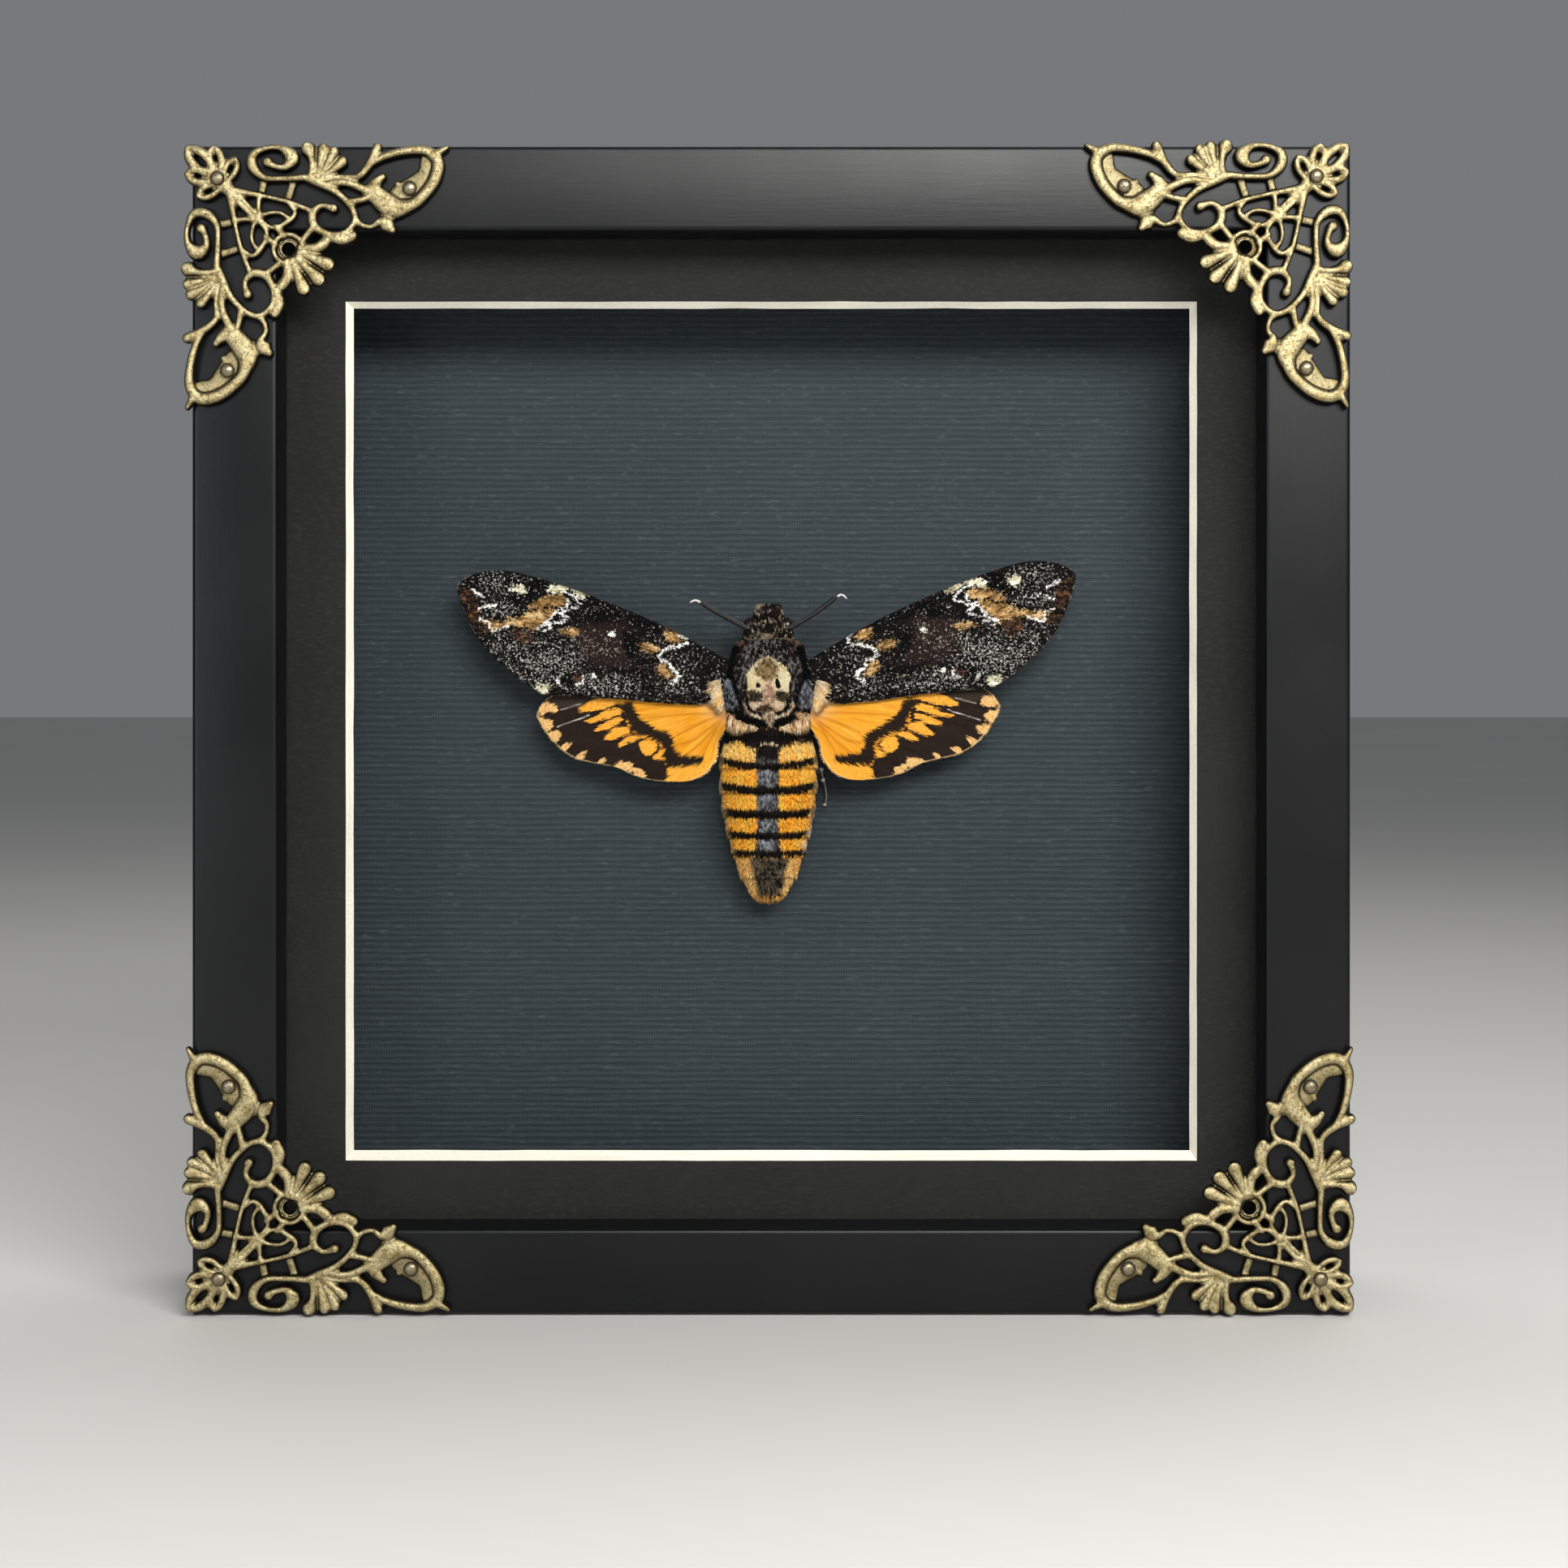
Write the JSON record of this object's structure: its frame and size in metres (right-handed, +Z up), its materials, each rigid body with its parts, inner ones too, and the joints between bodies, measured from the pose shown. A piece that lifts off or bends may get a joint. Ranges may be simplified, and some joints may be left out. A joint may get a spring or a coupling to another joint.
{
  "type": "framed deaths head hawkmoth",
  "caption": "Death's head hawkmoth with spread wings, mounted on a card behind glass in a black box frame with cast brass filigree corners.",
  "frame": {"origin": "on the underside of the bottom rail, under the middle of the frame", "axes": "+Z up, +X to the right as the front is seen, +Y to the back, so the glass faces -Y"},
  "size_m": [0.2054, 0.0458, 0.2056],
  "materials": {
    "frame_lacquer": "black satin lacquer on moulded board, with a fine grey fleck",
    "clear_glass": "clear",
    "mat_card": "black mat card with a cream core",
    "backing_card": "slate blue card with a linen emboss",
    "panel_board": "brown hardboard",
    "cast_brass": "antique: dark in the hollows, bright on the worn ridges",
    "nail_brass": "antique",
    "fitting_steel": "plain",
    "moth_dark_fur": "short dark fur with a frost of pale hairs",
    "moth_abdomen_fur": "short fur, ochre with dark bands",
    "moth_fore_wing": "fine scales, near black with pale flecks",
    "moth_hind_wing": "fine scales, ochre yellow with dark bands",
    "moth_limb": "dark horn with fine scales",
    "moth_eye": "dark and glossy"
  },
  "bodies": {
    "root": {"back_panel": "panel_board", "backing_card": "backing_card", "corner_ornament_bottom_left": "cast_brass", "corner_ornament_bottom_right": "cast_brass", "corner_ornament_top_left": "cast_brass", "corner_ornament_top_right": "cast_brass", "frame_rail_bottom": "frame_lacquer", "frame_rail_left": "frame_lacquer", "frame_rail_right": "frame_lacquer", "frame_rail_top": "frame_lacquer", "glass_pane": "clear_glass", "hanger_nail_left": "fitting_steel", "hanger_nail_right": "fitting_steel", "hanger_plate": "fitting_steel", "mat_board": "mat_card", "moth_abdomen": "moth_abdomen_fur", "moth_eye_left": "moth_eye", "moth_eye_right": "moth_eye", "moth_feeler_left": "moth_limb", "moth_feeler_right": "moth_limb", "moth_fore_leg_left": "moth_limb", "moth_fore_leg_right": "moth_limb", "moth_fore_wing_left": "moth_fore_wing", "moth_fore_wing_right": "moth_fore_wing", "moth_head": "moth_dark_fur", "moth_hind_leg_left": "moth_limb", "moth_hind_leg_right": "moth_limb", "moth_hind_wing_left": "moth_hind_wing", "moth_hind_wing_right": "moth_hind_wing", "moth_mid_leg_left": "moth_limb", "moth_mid_leg_right": "moth_limb", "moth_thorax": "moth_dark_fur", "ornament_nail_bottom_left_1": "nail_brass", "ornament_nail_bottom_left_2": "nail_brass", "ornament_nail_bottom_left_3": "nail_brass", "ornament_nail_bottom_right_1": "nail_brass", "ornament_nail_bottom_right_2": "nail_brass", "ornament_nail_bottom_right_3": "nail_brass", "ornament_nail_top_left_1": "nail_brass", "ornament_nail_top_left_2": "nail_brass", "ornament_nail_top_left_3": "nail_brass", "ornament_nail_top_right_1": "nail_brass", "ornament_nail_top_right_2": "nail_brass", "ornament_nail_top_right_3": "nail_brass", "turn_button_1": "fitting_steel", "turn_button_2": "fitting_steel", "turn_button_3": "fitting_steel", "turn_button_4": "fitting_steel", "turn_button_screw_1": "fitting_steel", "turn_button_screw_2": "fitting_steel", "turn_button_screw_3": "fitting_steel", "turn_button_screw_4": "fitting_steel"}
  },
  "joints": []
}
